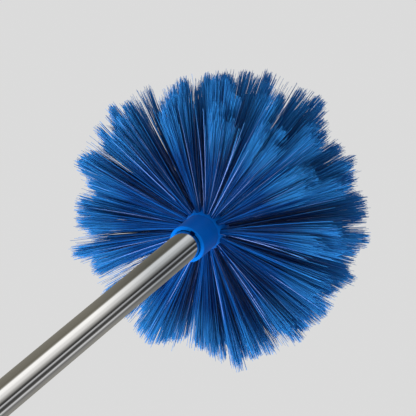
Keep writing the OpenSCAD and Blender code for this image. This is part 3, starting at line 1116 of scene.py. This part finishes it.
# What polished metal shows of the room: azimuth round the pole in degrees, brightness, warmth
ROOM_BANDS = (
    (-180, 0.225, 1.0), (-152, 0.21, 1.0), (-140, 0.18, 1.2), (-131, 0.3, 0.8), (-121, 1.3, 0.0),
    (-102, 1.25, 0.0), (-93, 1.0, 0.0), (-80, 0.9, 0.0), (-68, 0.5, 0.1), (-60, 0.35, 0.1),
    (-52, 0.1, 0.1), (-45, 0.045, 0.0), (-40, 0.05, 0.0), (-36, 0.6, -0.3), (-31, 0.6, -0.3),
    (-25, 0.12, -0.2), (-18, 0.06, -0.1), (-8, 0.07, 0.0), (-1, 0.22, 0.0), (4, 0.85, -0.3),
    (11, 0.6, -0.2), (22, 0.17, 0.0), (36, 0.27, 0.2), (60, 0.3, 0.4), (100, 0.25, 0.8),
    (180, 0.225, 1.0),
)


def room_colour(brightness, warmth):
    """A grey of that brightness, yellowish where warm and bluish where warmth is below zero."""
    return (brightness, brightness * (1 - 0.05 * warmth), brightness * (1 - 0.2 * warmth), 1.0)


def make_world():
    """An even room, a pale background, and a banded room for polished metal to show."""
    studio = settings().studio
    world = bpy.data.worlds.new("room")
    bpy.context.scene.world = world
    sheet = Sheet(world)
    rays = sheet.add("ShaderNodeLightPath")
    camera = rays.other("Is Camera Ray")
    glossy = rays.other("Is Glossy Ray")
    way = sheet.add("ShaderNodeTexCoord", {}, {}, out="Generated")
    round_about = sheet.add("ShaderNodeTexGradient", {"gradient_type": "RADIAL"}, {"Vector": way}, 1)
    stops = [(0.5 + a / 360, room_colour(value, warmth)) for a, value, warmth in ROOM_BANDS]
    banded = sheet.add("ShaderNodeValToRGB", {"stops": stops}, {"Fac": round_about})
    even = sheet.add("ShaderNodeBackground", {}, {"Color": grey(1.0), "Strength": studio.room})
    shown = sheet.add("ShaderNodeBackground", {}, {"Color": grey(BACKGROUND), "Strength": 1.0})
    mirrored = sheet.add("ShaderNodeBackground", {}, {"Color": banded, "Strength": 1.0})
    first = sheet.add("ShaderNodeMixShader", {}, {0: glossy, 1: even, 2: mirrored})
    last = sheet.add("ShaderNodeMixShader", {}, {0: camera, 1: first, 2: shown})
    sheet.add("ShaderNodeOutputWorld", {}, {"Surface": last})


def make_floor():
    """A wide round floor, pale and faintly mottled, far below the brush."""
    deselect()
    bpy.ops.mesh.primitive_circle_add(
        vertices=96, radius=40, fill_type="NGON", location=(0, 0, settings().studio.floor_z)
    )
    floor = bpy.context.active_object
    floor.name = "floor"
    material, sheet = new_material("pale_floor")
    mottle = sheet.noise(sheet.place(), scale=0.4, detail=3.0)
    sheet.surface({
        "Base Color": sheet.blend(mottle, (0.84, 0.84, 0.84), (0.88, 0.88, 0.875)),
        "Roughness": 0.7,
    })
    floor.data.materials.append(material)


def make_lamps():
    """The key and fill lamps, placed as seen from the camera, and one over the head."""
    studio = settings().studio
    turn = camera_turn()
    lamp("key", turn @ Vector((-0.7, -0.6, 0.75)), distance=5.0, size=2.5, power=studio.key)
    lamp("fill", turn @ Vector((0.5, -0.9, 0.8)), distance=1.7, size=1.0, power=studio.fill)
    lamp("top", (0.35, 0.5, 1.0), distance=1.8, size=1.2, power=studio.top)


class BRUSH_OT_stage(bpy.types.Operator):
    """Make the floor, the lamps and the room"""

    bl_idname = "brush.stage"
    bl_label = "Stage"

    def execute(self, context):
        make_floor()
        make_lamps()
        make_world()
        context.scene.view_settings.view_transform = "Standard"
        return {"FINISHED"}


class BRUSH_PT_panel(bpy.types.Panel):
    """Lists the brush's sizes and steps"""

    bl_label = "Cobweb brush"
    bl_space_type = "VIEW_3D"
    bl_region_type = "UI"
    bl_category = "Brush"

    def draw(self, context):
        for group in settings():
            box = self.layout.box()
            for name in group.bl_rna.properties.keys():
                if name not in {"rna_type", "name"}:
                    box.prop(group, name)
        for step in STEPS:
            self.layout.operator(step.bl_idname)


STEPS = (
    BRUSH_OT_camera,
    BRUSH_OT_finishes,
    BRUSH_OT_pole_tip,
    BRUSH_OT_mouldings,
    BRUSH_OT_hub_bands,
    BRUSH_OT_filaments,
    BRUSH_OT_stage,
)
GROUPS = (
    ("brush_hub", HubSizes),
    ("brush_filaments", FilamentSizes),
    ("brush_colours", BrushColours),
    ("brush_studio", StudioSettings),
    ("brush_tip", TipSizes),
)


def register():
    for name, group in GROUPS:
        bpy.utils.register_class(group)
        setattr(bpy.types.Scene, name, PointerProperty(type=group))
    for step in STEPS:
        bpy.utils.register_class(step)
    bpy.utils.register_class(BRUSH_PT_panel)


def unregister():
    bpy.utils.unregister_class(BRUSH_PT_panel)
    for step in reversed(STEPS):
        bpy.utils.unregister_class(step)
    for name, group in reversed(GROUPS):
        delattr(bpy.types.Scene, name)
        bpy.utils.unregister_class(group)


def main():
    register()
    bpy.ops.brush.camera()
    bpy.ops.brush.finishes()
    bpy.ops.brush.pole_tip()
    bpy.ops.brush.mouldings()
    bpy.ops.brush.hub_bands()
    bpy.ops.brush.filaments()
    bpy.ops.brush.stage()


if __name__ == "__main__":
    main()
